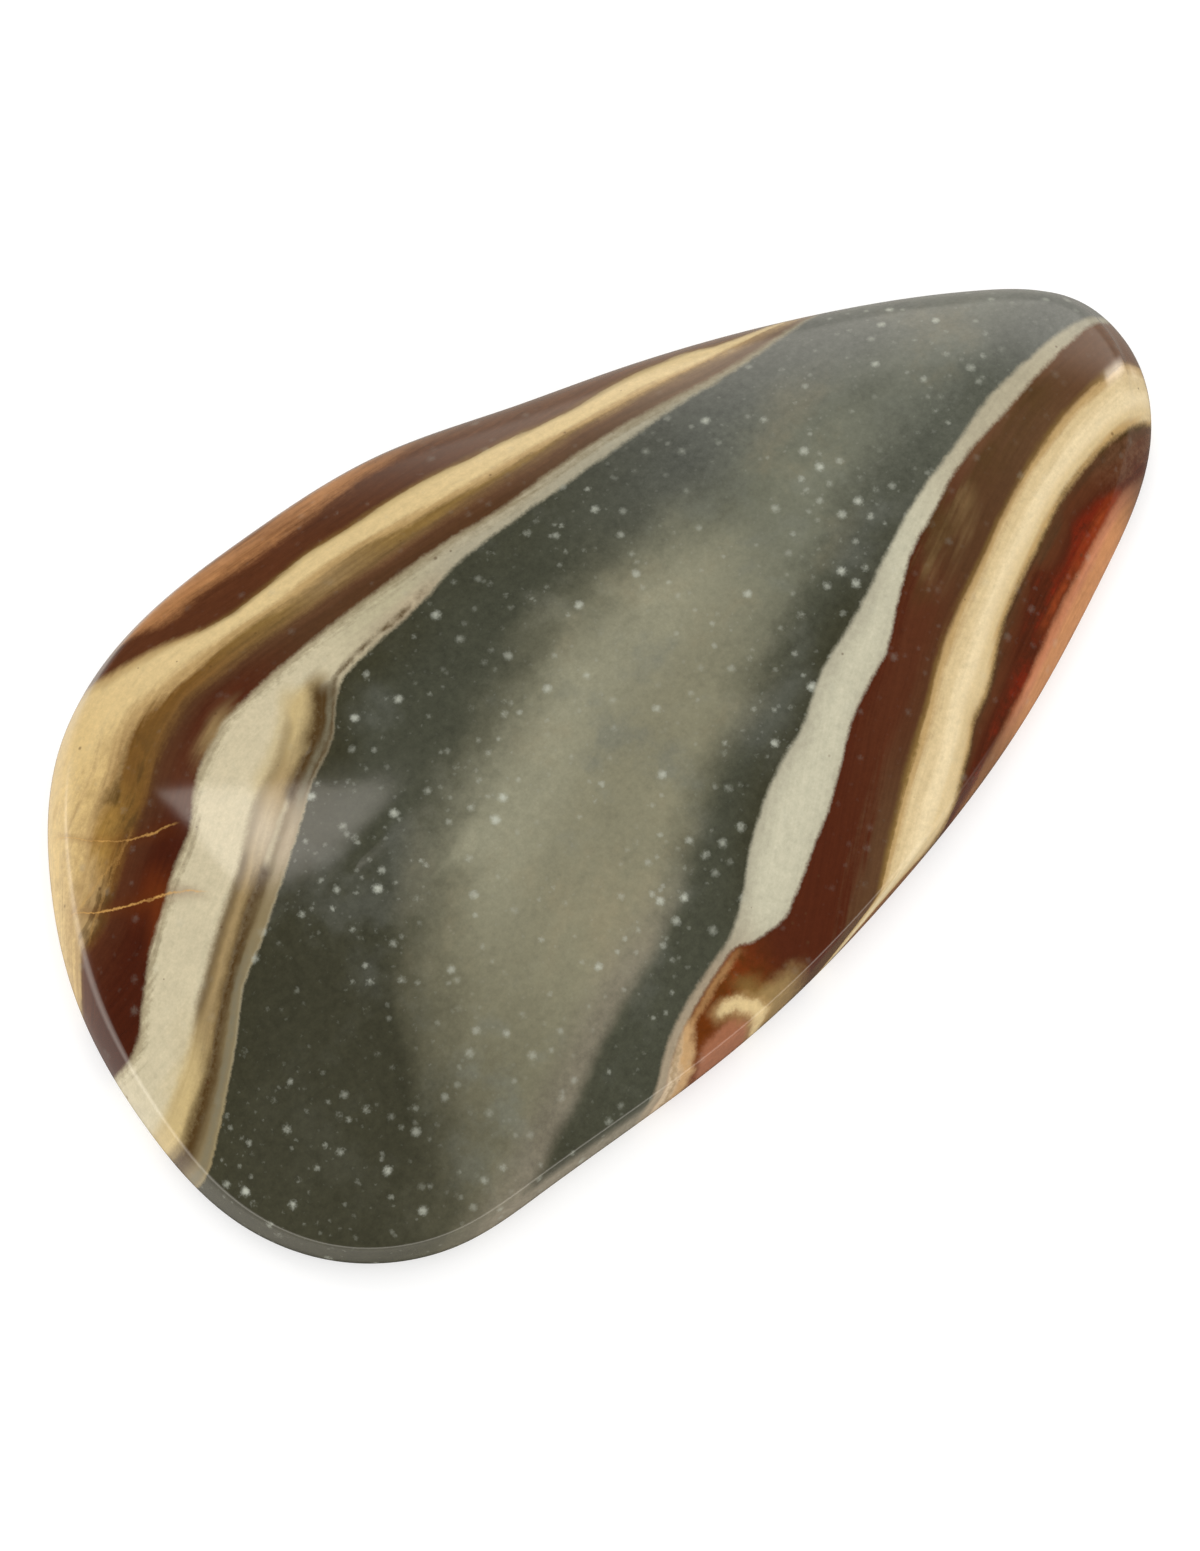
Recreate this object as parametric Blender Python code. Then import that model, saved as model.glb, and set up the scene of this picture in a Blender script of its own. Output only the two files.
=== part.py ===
"""Jasper slab: one polished freeform stone, flat on the back and gently domed on the face.

Metres, +Z up. The slab lies on its flat back. X runs along its length, from the broad rounded
end at -X to the narrow end at +X, and the origin is the middle of its length and width, on the
plane of the back.

The stone is made as a stack of closed rings. From the flat back they follow a rounded lower
edge out to the girdle, the widest line. Above it a ground side band leans inward to the arris,
and from there the polished dome closes over a short ridge line.
"""

import math

import bmesh
import bpy
import numpy as np

MM = 0.001

# Heights above the flat back, in millimetres
GIRDLE_HEIGHT = 1.9
ARRIS_HEIGHT = 3.5
CROWN_HEIGHT = 9.0

# Edges, in millimetres
BACK_INSET = 2.0    # the flat back stops this far inside the girdle
ARRIS_EASE = 0.25   # the arris is eased by this much on each side

# The dome's section and its ridge line
DOME_FULLNESS = 2.4         # 2 is an ellipse, and more is flatter on top
CROWN_EASE = 0.22           # how broadly it rounds over the ridge, as a share of its reach
BAND_CURVE = 1.3            # the side band leans in more towards the arris
RIDGE_SHARE = 0.52          # the ridge's length, as a share of the slab's
RIDGE_Y = -0.3              # where the ridge lies across the slab, in millimetres
RIDGE_BOW = 0.0028          # how much it bows towards -Y, per millimetre
RIDGE_BOW_X = -12.0         # the middle of the bow, in millimetres along X
RIDGE_FALL = 0.0015         # how much it falls towards its ends, per millimetre
CROWN_X = -8.0              # where the ridge is highest, in millimetres along X

# The girdle, counter-clockwise from the narrow end. Each row is x and y, the lean of the side
# band, and its roll: 1 meets the dome at a crisp arris, and nearly 2 rolls over with no edge.
GIRDLE = (
    (37.5, -6.5, 1.1, 1.55),
    (37.5, -2.0, 1.0, 1.70),
    (33.5, 2.5, 0.8, 1.80),
    (26.0, 7.5, 0.6, 1.80),
    (13.5, 14.0, 0.6, 1.60),
    (7.5, 16.5, 0.6, 1.45),
    (0.0, 19.5, 0.6, 1.28),
    (-9.0, 21.0, 0.6, 1.15),
    (-19.5, 21.0, 0.7, 1.10),
    (-26.0, 18.5, 0.9, 1.10),
    (-31.5, 13.0, 1.1, 1.08),
    (-35.5, 6.0, 1.1, 1.05),
    (-37.5, -2.0, 0.8, 1.05),
    (-37.5, -9.5, 0.5, 1.05),
    (-35.0, -15.0, 0.3, 1.05),
    (-29.5, -19.0, 0.3, 1.05),
    (-24.0, -20.0, 0.3, 1.05),
    (-10.0, -21.5, 0.2, 1.05),
    (3.0, -21.0, 0.2, 1.05),
    (15.0, -19.0, 0.5, 1.05),
    (26.0, -15.5, 1.0, 1.10),
    (34.0, -11.5, 1.2, 1.30),
)

# Mesh density
STEPS_PER_SPAN = 6      # points between two rows of the girdle
LOWER_STEPS = 4         # rings up the lower rounding
DOME_STEPS = 12         # rings up the dome
RING_CROWDING = 1.6     # above 1, the dome's rings crowd towards the arris
CROWN_GAP = 0.04        # the last ring's share of the dome's reach

# Finish
STONE_COLOR = (0.24, 0.20, 0.13, 1.0)
STONE_ROUGHNESS = 0.12
SHARP_ANGLE = math.radians(35)


def clear_scene():
    for obj in list(bpy.data.objects):
        bpy.data.objects.remove(obj, do_unlink=True)


def closed_spline(rows, steps):
    """Points of a smooth closed curve through the rows, with each column carried along."""
    knots = np.array(rows, dtype=float)
    count = len(knots)
    span = np.linalg.norm(np.roll(knots[:, :2], -1, axis=0) - knots[:, :2], axis=1)
    slope = (np.roll(knots, -1, axis=0) - knots) / span[:, None]
    system = np.zeros((count, count))
    for i in range(count):
        system[i, i - 1] += span[i - 1]
        system[i, i] += 2 * (span[i - 1] + span[i])
        system[i, (i + 1) % count] += span[i]
    bend = np.linalg.solve(system, 6 * (slope - np.roll(slope, 1, axis=0)))
    points = []
    for i in range(count):
        after = (i + 1) % count
        for step in range(steps):
            gone = span[i] * step / steps
            left = span[i] - gone
            cubic = (bend[i] * left**3 + bend[after] * gone**3) / (6 * span[i])
            start = (knots[i] / span[i] - bend[i] * span[i] / 6) * left
            end = (knots[after] / span[i] - bend[after] * span[i] / 6) * gone
            points.append(cubic + start + end)
    return np.array(points)


def outward_normals(line):
    along = np.roll(line, -1, axis=0) - np.roll(line, 1, axis=0)
    normal = np.column_stack([along[:, 1], -along[:, 0]])
    return normal / np.linalg.norm(normal, axis=1, keepdims=True)


def ring(plan, height):
    """A ring from its plan and its height, which is one number or one for each point."""
    return np.column_stack([plan, np.broadcast_to(height, len(plan))])


class Slab:
    """The stone's surface, worked out from the girdle."""

    def __init__(self):
        rows = closed_spline(GIRDLE, STEPS_PER_SPAN)
        line = rows[:, :2]
        self.girdle = line - (line.min(axis=0) + line.max(axis=0)) / 2
        self.lean = rows[:, 2:3]
        self.roll = np.maximum(rows[:, 3], 1.0)
        self.normal = outward_normals(self.girdle)
        self.arris = self.girdle - self.normal * self.lean
        ridge_x = self.arris[:, 0] * RIDGE_SHARE
        ridge_y = RIDGE_Y - RIDGE_BOW * (ridge_x - RIDGE_BOW_X) ** 2
        self.ridge = np.column_stack([ridge_x, ridge_y])
        self.ridge_height = CROWN_HEIGHT - RIDGE_FALL * (ridge_x - CROWN_X) ** 2

    def lower_edge(self, share):
        """Quarter-round section from the flat back, at 0, to the girdle, at 1."""
        turn = share * math.pi / 2
        plan = self.girdle - self.normal * BACK_INSET * (1 - math.sin(turn))
        return ring(plan, GIRDLE_HEIGHT * (1 - math.cos(turn)))

    def side_band(self, share):
        """The ground band from the girdle, at 0, to the arris, at 1."""
        plan = self.girdle - self.normal * self.lean * share**BAND_CURVE
        return ring(plan, GIRDLE_HEIGHT + (ARRIS_HEIGHT - GIRDLE_HEIGHT) * share)

    def dome(self, reach):
        """The dome from the ridge line, at 0, to the arris, at 1."""
        plan = self.ridge + (self.arris - self.ridge) * np.reshape(reach, (-1, 1))
        half = DOME_FULLNESS / 2
        least = CROWN_EASE**DOME_FULLNESS
        fall = (np.asarray(reach) ** 2 + CROWN_EASE**2) ** half - least
        section = (1 - fall / ((1 + CROWN_EASE**2) ** half - least)) ** (1 / self.roll)
        return ring(plan, ARRIS_HEIGHT + (self.ridge_height - ARRIS_HEIGHT) * section)

    def rings(self):
        band_top = 1 - ARRIS_EASE / (ARRIS_HEIGHT - GIRDLE_HEIGHT)
        to_ridge = np.linalg.norm(self.arris - self.ridge, axis=1)
        dome_foot = 1 - ARRIS_EASE / to_ridge
        below = self.side_band(band_top)
        above = self.dome(dome_foot)
        eased = below / 4 + self.side_band(1.0) / 2 + above / 4
        rings = [self.lower_edge(step / LOWER_STEPS) for step in range(LOWER_STEPS + 1)]
        rings += [self.side_band(band_top / 2), below, eased, above]
        for step in range(1, DOME_STEPS + 1):
            inward = (step / DOME_STEPS) ** RING_CROWDING
            rings.append(self.dome(dome_foot + (CROWN_GAP - dome_foot) * inward))
        return rings


def close_crown(bm, loop):
    """Joins the two sides of the long thin last ring with a strip of triangles."""
    count = len(loop)
    start = max(range(count), key=lambda i: loop[i].co.x)
    end = min(range(count), key=lambda i: loop[i].co.x)
    far = [loop[(start + i) % count] for i in range((end - start) % count + 1)]
    near = [loop[start - i] for i in range((start - end) % count + 1)]
    i, j = 1, 1
    bm.faces.new((far[0], far[1], near[1]))
    while i < len(far) - 2 or j < len(near) - 2:
        if j == len(near) - 2 or (i < len(far) - 2 and far[i + 1].co.x > near[j + 1].co.x):
            bm.faces.new((near[j], far[i], far[i + 1]))
            i += 1
        else:
            bm.faces.new((far[i], near[j + 1], near[j]))
            j += 1
    bm.faces.new((far[i], far[-1], near[j]))


def skin(rings):
    """A closed mesh over the rings, with one face under the flat back."""
    mesh = bpy.data.meshes.new("jasper_slab")
    bm = bmesh.new()
    loops = [[bm.verts.new(point) for point in line * MM] for line in rings]
    for low, high in zip(loops, loops[1:]):
        for i in range(len(low)):
            j = (i + 1) % len(low)
            bm.faces.new((low[i], low[j], high[j], high[i]))
    bm.faces.new(reversed(loops[0]))
    close_crown(bm, loops[-1])
    bm.to_mesh(mesh)
    bm.free()
    mesh.shade_smooth()
    mesh.set_sharp_from_angle(angle=SHARP_ANGLE)
    return mesh


def polished_stone():
    material = bpy.data.materials.new("polished_jasper")
    material.use_nodes = True
    shader = material.node_tree.nodes["Principled BSDF"]
    shader.inputs["Base Color"].default_value = STONE_COLOR
    shader.inputs["Roughness"].default_value = STONE_ROUGHNESS
    shader.inputs["Metallic"].default_value = 0.0
    return material


def main():
    clear_scene()
    slab = bpy.data.objects.new("jasper_slab", skin(Slab().rings()))
    slab.data.materials.append(polished_stone())
    bpy.context.scene.collection.objects.link(slab)


main()
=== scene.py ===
"""Jasper slab: the polished skin of the stone, its bands of colour, and a plain pale studio.

The stone's colour is worked out in the depth of the rock. Every spot inside it has a place on
the plan of the strata, u along the slab and v across it, in millimetres, slid sideways with
depth because the strata dip. Drawn lines over that plan part one band from the next, so a
band that reaches the edge carries on down the side and over the back.
"""

import math

import bmesh
import bpy
import numpy as np
from bpy.props import FloatProperty, FloatVectorProperty, IntProperty, PointerProperty
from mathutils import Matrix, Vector


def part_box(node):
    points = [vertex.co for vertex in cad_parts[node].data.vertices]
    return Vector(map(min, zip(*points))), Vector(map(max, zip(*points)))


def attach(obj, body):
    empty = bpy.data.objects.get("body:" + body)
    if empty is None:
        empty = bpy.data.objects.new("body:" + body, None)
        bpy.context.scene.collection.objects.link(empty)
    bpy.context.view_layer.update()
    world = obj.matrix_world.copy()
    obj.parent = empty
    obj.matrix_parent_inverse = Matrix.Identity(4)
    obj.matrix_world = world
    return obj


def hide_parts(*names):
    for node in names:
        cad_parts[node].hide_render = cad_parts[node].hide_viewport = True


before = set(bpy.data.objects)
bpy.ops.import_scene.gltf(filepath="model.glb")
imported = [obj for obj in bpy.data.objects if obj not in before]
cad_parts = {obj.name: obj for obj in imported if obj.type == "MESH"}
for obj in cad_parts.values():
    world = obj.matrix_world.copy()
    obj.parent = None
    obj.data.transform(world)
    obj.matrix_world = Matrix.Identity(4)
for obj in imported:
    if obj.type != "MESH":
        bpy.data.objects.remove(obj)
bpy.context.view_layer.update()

bl_info = {
    "name": "Jasper Slab",
    "version": (1, 0, 0),
    "blender": (4, 5, 0),
    "location": "3D View > Sidebar > Jasper",
    "description": "A polished freeform slab of banded jasper in a plain pale studio",
    "category": "Add Mesh",
}

MM = 0.001
SLAB_NODE = "jasper_slab"
SLAB_LOW, SLAB_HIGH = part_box(SLAB_NODE)
SLAB_HEIGHT = SLAB_HIGH.z - SLAB_LOW.z

# ---------------------------------------------------------------------------
# The stone's shape
# ---------------------------------------------------------------------------

# The girdle, counter-clockwise from the narrow end, in millimetres. Each row is x and y, the
# lean of the side band, and its roll: 1 meets the dome at a crisp arris, nearly 2 rolls over.
GIRDLE = (
    (37.5, -6.5, 1.1, 1.55),
    (37.5, -2.0, 1.0, 1.70),
    (33.5, 2.5, 0.8, 1.80),
    (26.0, 7.5, 0.6, 1.80),
    (13.5, 14.0, 0.6, 1.60),
    (7.5, 16.5, 0.6, 1.45),
    (0.0, 19.5, 0.6, 1.28),
    (-9.0, 21.0, 0.6, 1.15),
    (-19.5, 21.0, 0.7, 1.10),
    (-26.0, 18.5, 0.9, 1.10),
    (-31.5, 13.0, 1.1, 1.08),
    (-35.5, 6.0, 1.1, 1.05),
    (-37.5, -2.0, 0.8, 1.05),
    (-37.5, -9.5, 0.5, 1.05),
    (-35.0, -15.0, 0.3, 1.05),
    (-29.5, -19.0, 0.3, 1.05),
    (-24.0, -20.0, 0.3, 1.05),
    (-10.0, -21.5, 0.2, 1.05),
    (3.0, -21.0, 0.2, 1.05),
    (15.0, -19.0, 0.5, 1.05),
    (26.0, -15.5, 1.0, 1.10),
    (34.0, -11.5, 1.2, 1.30),
)
BAND_CURVE = 1.3            # the side band leans in more towards the arris
RIDGE_SHARE = 0.52          # the ridge's length, as a share of the slab's
RIDGE_Y = -0.3              # where the ridge lies across the slab, in millimetres
RIDGE_BOW = 0.0028          # how much it bows towards -Y, per millimetre
RIDGE_BOW_X = -12.0         # the middle of the bow, in millimetres along X
RIDGE_FALL = 0.0015         # how much it falls towards its ends, per millimetre
CROWN_X = -8.0              # where the ridge is highest, in millimetres along X
RING_CROWDING = 1.6         # above 1, the dome's rings crowd towards the arris
CROWN_EASE = 0.22           # how broadly the dome rounds over the ridge, as a share of its reach
CROWN_GAP = 0.01            # the last ring's share of the dome's reach

# ---------------------------------------------------------------------------
# The plan of the strata, in millimetres: lines of (u, v)
# ---------------------------------------------------------------------------

PLAN_U = (-42.0, 42.0)      # what the lines are drawn over
PLAN_V = (-28.0, 28.0)
DIP = (-0.288, 0.278)       # how far the plan slides with height, in u and in v
DIP_HEIGHT = 3.5            # the height at which the plan isn't slid
OUTWARD_LEAN = 1.9          # how far they lean out on the side band, for each millimetre down

# The upper family of bands, from its outermost line inward to the green body
CARAMEL_EDGE = (
    (-24, 21.9), (-19, 20.6), (-16.8, 19.8), (-14, 19.6), (-10, 19.1), (-8, 19.1), (-6, 18.9),
    (-4, 18.7), (-2, 18.4), (2, 17.3), (6, 15.6), (12, 13.2),
)
PLUM_EDGE = (
    (-27, 22.2), (-24, 20.7), (-22, 19.8), (-20, 19.2), (-18.5, 18.7), (-17, 18.0), (-16, 17.6),
    (-14, 17.2), (-10, 17.2), (-6, 16.6), (-2, 16.0), (2, 15.0), (6, 13.8), (8, 13.2), (10, 12.9),
    (12, 12.6), (16, 11.4), (18, 10.3), (22, 9.0),
)
CREAM_EDGE = (
    (-42, 8.6), (-35.5, 8.3), (-34, 8.5), (-33, 9.0), (-32, 9.7), (-30, 11.7), (-29, 12.8),
    (-28, 13.7), (-26, 14.9), (-23, 16.2), (-22, 16.4), (-20, 16.4), (-16, 16.3), (-12, 15.7),
    (-8, 15.4), (-4, 14.4), (0, 13.5), (4, 12.8), (8, 11.9), (12, 11.0), (16, 9.9), (22, 8.6),
)
OLIVE_EDGE = (
    (-42, 7.3), (-36, 7.4), (-34, 7.6), (-33.2, 7.8), (-32, 8.2), (-31, 8.9), (-29, 10.4),
    (-27, 11.5), (-26, 12.1), (-25, 12.8), (-24, 13.5), (-23, 14.0), (-21, 14.7), (-20, 14.9),
    (-18, 14.8), (-16, 14.7), (-12, 14.2), (-8, 13.7), (-4, 13.2), (0, 12.7), (4, 12.0), (8, 11.6),
    (12, 10.8), (16, 9.8), (22, 8.5),
)
MAROON_EDGE = (
    (-42, 1.6), (-37, 1.1), (-36, 1.2), (-35, 1.8), (-34, 2.9), (-33, 3.9), (-31.8, 5.1),
    (-30, 6.4), (-28, 7.8), (-26, 8.9), (-24, 10.7), (-22.3, 11.7), (-21.2, 12.1), (-20.2, 12.5),
    (-19, 12.6), (-16, 12.7), (-12, 12.6), (-8, 12.3), (-4, 11.9), (0, 11.2), (4, 10.9), (8, 10.4),
    (12, 9.6), (16, 8.7), (22, 8.0),
)
GREEN_EDGE = (
    (-42, -11.0), (-38, -7.4), (-36, -5.6), (-34, -3.7), (-32, -1.8), (-31, -0.8), (-30, 0.1),
    (-28, 1.2), (-26, 2.4), (-24, 3.6), (-22, 4.8), (-20, 6.1), (-18, 7.0), (-17, 7.5), (-16, 8.4),
    (-15, 9.2), (-14, 9.7), (-12, 9.9), (-8, 10.0), (-6, 10.2), (-4, 10.4), (-2, 10.3), (0, 10.1),
    (4, 9.7), (8, 9.3), (12, 8.9), (16, 8.3), (22, 7.8),
)
# Thin lines inside the pale band, at the broad end
OLIVE_LINE = (
    (-36, -2.2), (-34, -0.8), (-33, 0.1), (-32, 0.9), (-30, 2.4), (-28, 3.8), (-26, 5.0),
    (-24, 6.5), (-22, 7.7), (-20, 8.5), (-19, 9.1), (-18, 9.8), (-17.2, 10.5), (-16, 10.8),
    (-14, 10.8),
)
DARK_LINE = (
    (-42, -8.6), (-38, -5.7), (-36, -4.1), (-34, -2.5), (-32, -0.6), (-30, 1.0), (-28, 2.4),
    (-26, 3.6), (-24, 4.8), (-22, 6.0), (-20, 7.0), (-18, 7.9), (-17, 8.5), (-16, 9.5),
    (-15.4, 10.0), (-14, 10.2),
)
# The lower family, from the green body outward
PALE_EDGE = (
    (-20, -22.6), (-16, -20.4), (-14, -18.8), (-12, -17.9), (-10, -17.3), (-8, -16.8), (-6, -15.6),
    (-4, -13.8), (-2, -12.5), (0, -11.5), (3, -10.5), (6, -8.9), (10, -7.7), (14, -6.2), (18, -4.9),
    (22, -4.1), (26, -3.3), (30, -3.2), (34, -3.4), (38, -4.3),
)
RUST_EDGE = (
    (-20, -23.4), (-16, -21.2), (-14, -19.5), (-12, -18.5), (-10, -17.9), (-9, -17.6),
    (-8.2, -17.4), (-6.6, -17.9), (-5, -18.1), (-3, -17.4), (-1, -16.3), (1, -15.3), (3, -14.0),
    (6, -12.0), (8, -11.2), (10, -10.5), (12, -9.1), (14, -7.8), (15, -7.2), (18, -6.2), (21, -5.2),
    (26, -4.6), (30, -4.2), (34, -4.1), (38, -4.8),
)
GOLD_EDGE = (
    (-2, -23.6), (1, -21.0), (3, -19.3), (5, -17.8), (6, -17.0), (8, -15.7), (10, -14.5),
    (12, -13.1), (14, -12.0), (18, -10.4), (22, -8.8), (26, -7.6), (28, -7.2), (30, -7.0),
    (34, -6.9), (38, -8.4),
)
PLUM_LINE = (
    (6, -21.4), (8, -20.3), (9.6, -19.1), (11, -18.1), (12, -17.2), (14, -16.3), (15.5, -15.2),
    (17, -14.1), (20, -12.7), (22, -12.0), (24, -11.2), (26, -10.6), (30, -10.2), (32, -10.3),
    (34, -10.8), (37, -12.4),
)
RED_LINE = (
    (8, -20.8), (12, -18.4), (14, -17.5), (16, -16.6), (18, -15.3), (19.8, -14.1), (21, -13.3),
    (22.2, -13.9), (24, -13.4), (25.5, -12.4), (27, -12.4), (30, -12.8), (36, -13.2),
)
CARAMEL_LINE = (
    (8, -20.9), (12, -19.3), (16, -17.8), (20, -16.2), (24, -14.8), (28, -13.5), (30, -13.1),
    (32, -13.2), (36, -13.6),
)
# The edges of the paler mist along the middle of the green body
MIST_TOP = (
    (-42, -19.0), (-34, -17.0), (-30, -15.2), (-27.3, -12.0), (-25.3, -8.2), (-23, -5.6),
    (-19.5, -2.8), (-15, 0.1), (-10, 2.1), (-5, 3.9), (0, 4.3), (5, 4.6), (10, 4.7), (15, 4.5),
    (20, 4.2), (26, 3.6), (38, 2.5),
)
MIST_FOOT = (
    (-30, -21.6), (-24, -19.4), (-20, -17.6), (-15, -15.4), (-10, -13.7), (-5, -10.8), (0, -8.4),
    (5, -6.6), (10, -4.9), (15, -3.0), (20, -2.0), (26, -1.3), (38, -1.0),
)
# Two healed cracks across the broad end and two veins in its gold, and how strongly each shows
CRACKS = (
    (((-29.6, 13.9), (-28.9, 12.0), (-27.7, 10.6), (-26.6, 10.0), (-25.4, 9.4)), 0.55),
    (((-32.1, 9.7), (-31.6, 8.9), (-30.2, 7.7), (-28.9, 6.8), (-28.0, 5.8), (-27.2, 4.6)), 0.7),
    (((-32.0, 9.9), (-30.4, 10.4), (-29.2, 10.6), (-28.0, 11.1), (-27.0, 11.9)), 0.2),
    (((-32.8, 8.2), (-31.1, 9.4), (-29.9, 10.1), (-28.7, 10.8), (-27.6, 12.0)), 0.2),
)
CRACK_WIDTH = 0.13          # half the width of the filling
CRACK_GLOW = 1.2            # how far the rusty glow reaches to each side

# A pale puff in the green body, and the agate eye low on the -Y side: the middle of each on the
# plan, and its reach along u and v
PUFF_PLACE, PUFF_REACH = (-15.5, -2.6), (3.4, 1.5)
EYE_PLACE, EYE_REACH = (-11.3, -22.1), (2.7, 2.5)

# Grains of chert, one row for each size: a seed, how many lie along a millimetre, the least and
# the greatest radius in millimetres, and how strongly they show
SPECKS = (
    (0.0, 0.8, 0.16, 0.42, 0.95),
    (5.3, 1.1, 0.1, 0.26, 0.5),
    (9.1, 2.0, 0.06, 0.12, 0.18),
)
PITS_PER_MM = 0.6           # how many dark pits lie along a millimetre
PIT_SHIFT = (1.9, 7.7, 3.3)     # moves their scatter off that of the grains

# Noise in the rock: its scale for each millimetre, its detail and its roughness
CLOUD = (0.12, 3.0, 0.55)   # the mottle, from the broadest to the finest
PUFF = (0.4, 4.0, 0.6)
RAGGED = (1.3, 4.0, 0.6)
CHALK = (2.2, 5.0, 0.74)
GRAIN = (6.0, 3.0, 0.65)
WANDER = (0.16, 1.0)        # how the strata bend below the arris
SHEEN = (0.5, 4.0, 0.6)     # how the polish varies
WAVE = (0.35, 1.0)          # the slow wave left by the polishing wheel

# The polish
STONE_IOR = 1.54
POLISH_ROUGHNESS = 0.08
ROUGHNESS_SPREAD = 0.04
WAVE_HEIGHT = 0.006         # in millimetres
GRAIN_HEIGHT = 0.0006       # how much the grain stands up, in millimetres

# The studio
FLOOR_GAP = 0.02            # between the floor and the stone's back, in millimetres
FLOOR_ROUGHNESS = 0.9
KEY_SPREAD = 150            # how broad the overhead light is, in degrees
KEY_TILT = (10, -8)         # how it leans about X and Y, in degrees

# What the polish mirrors, as azimuth and elevation in degrees: the corners of the window over the
# broad end, each with how softly the light ends along the side that starts there, and the lamp
WINDOW = (
    (107, 36, 0.02),
    (108.5, 56, 0.05),
    (54, 70, 0.015),
    (63, 65.5, 0.012),
    (77, 60, 0.012),
)
LAMP_TOP = (-14, 19)
LAMP_FOOT = (-3, -27)


def tone(red, green, blue):
    """A colour from its 0 to 255 screen values, as the light values that shaders use."""
    parts = []
    for part in (red, green, blue):
        share = part / 255
        parts.append(share / 12.92 if share <= 0.04045 else ((share + 0.055) / 1.055) ** 2.4)
    return (*parts, 1.0)


# ---------------------------------------------------------------------------
# Building the skin
# ---------------------------------------------------------------------------


def closed_spline(rows, steps):
    """Points of a smooth closed curve through the rows, with each column carried along."""
    knots = np.array(rows, dtype=float)
    count = len(knots)
    span = np.linalg.norm(np.roll(knots[:, :2], -1, axis=0) - knots[:, :2], axis=1)
    slope = (np.roll(knots, -1, axis=0) - knots) / span[:, None]
    system = np.zeros((count, count))
    for i in range(count):
        system[i, i - 1] += span[i - 1]
        system[i, i] += 2 * (span[i - 1] + span[i])
        system[i, (i + 1) % count] += span[i]
    bend = np.linalg.solve(system, 6 * (slope - np.roll(slope, 1, axis=0)))
    points = []
    for i in range(count):
        after = (i + 1) % count
        for step in range(steps):
            gone = span[i] * step / steps
            left = span[i] - gone
            cubic = (bend[i] * left**3 + bend[after] * gone**3) / (6 * span[i])
            start = (knots[i] / span[i] - bend[i] * span[i] / 6) * left
            end = (knots[after] / span[i] - bend[after] * span[i] / 6) * gone
            points.append(cubic + start + end)
    return np.array(points)


def outward_normals(line):
    along = np.roll(line, -1, axis=0) - np.roll(line, 1, axis=0)
    normal = np.column_stack([along[:, 1], -along[:, 0]])
    return normal / np.linalg.norm(normal, axis=1, keepdims=True)


def ring(plan, height):
    """A ring from its plan and its height, which is one number or one for each point."""
    return np.column_stack([plan, np.broadcast_to(height, len(plan))])


class Slab:
    """The polished surface in millimetres, worked out from the girdle and the shape settings."""

    def __init__(self, shape):
        self.shape = shape
        self.girdle_height = shape.girdle_height / MM
        self.arris_height = shape.arris_height / MM
        self.crown_height = shape.crown_height / MM
        self.back_inset = shape.back_inset / MM
        rows = closed_spline(GIRDLE, shape.steps_per_span)
        line = rows[:, :2]
        self.girdle = line - (line.min(axis=0) + line.max(axis=0)) / 2
        self.lean = rows[:, 2:3]
        self.roll = np.maximum(rows[:, 3], 1.0)
        self.normal = outward_normals(self.girdle)
        self.arris = self.girdle - self.normal * self.lean
        ridge_x = self.arris[:, 0] * RIDGE_SHARE
        ridge_y = RIDGE_Y - RIDGE_BOW * (ridge_x - RIDGE_BOW_X) ** 2
        self.ridge = np.column_stack([ridge_x, ridge_y])
        self.ridge_height = self.crown_height - RIDGE_FALL * (ridge_x - CROWN_X) ** 2

    def lower_edge(self, share):
        """Quarter-round section from the flat back, at 0, to the girdle, at 1."""
        turn = share * math.pi / 2
        plan = self.girdle - self.normal * self.back_inset * (1 - math.sin(turn))
        return ring(plan, self.girdle_height * (1 - math.cos(turn)))

    def side_band(self, share):
        """The ground band from the girdle, at 0, to the arris, at 1."""
        plan = self.girdle - self.normal * self.lean * share**BAND_CURVE
        rise = self.arris_height - self.girdle_height
        return ring(plan, self.girdle_height + rise * share)

    def dome(self, reach):
        """The dome from the ridge line, at 0, to the arris, at 1."""
        plan = self.ridge + (self.arris - self.ridge) * np.reshape(reach, (-1, 1))
        half = self.shape.dome_fullness / 2
        least = CROWN_EASE ** (2 * half)
        fall = (np.asarray(reach) ** 2 + CROWN_EASE**2) ** half - least
        section = (1 - fall / ((1 + CROWN_EASE**2) ** half - least)).clip(0) ** (1 / self.roll)
        rise = self.ridge_height - self.arris_height
        return ring(plan, self.arris_height + rise * section)

    def rings(self):
        shape = self.shape
        ease = shape.arris_ease / MM
        band_top = 1 - ease / (self.arris_height - self.girdle_height)
        to_ridge = np.linalg.norm(self.arris - self.ridge, axis=1)
        dome_foot = 1 - ease / to_ridge
        below = self.side_band(band_top)
        corner = self.side_band(1.0)
        above = self.dome(dome_foot)
        rings = [self.lower_edge(share) for share in np.linspace(0, 1, shape.lower_rings)]
        rings += [self.side_band(share) for share in np.linspace(0, band_top, shape.band_rings)[1:]]
        for share in np.linspace(0, 1, shape.ease_rings)[1:]:
            bend = below * (1 - share) ** 2 + corner * 2 * share * (1 - share) + above * share**2
            rings.append(bend)
        for share in np.linspace(0, 1, shape.dome_rings)[1:]:
            inward = share**RING_CROWDING
            rings.append(self.dome(dome_foot + (CROWN_GAP - dome_foot) * inward))
        return rings


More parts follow.
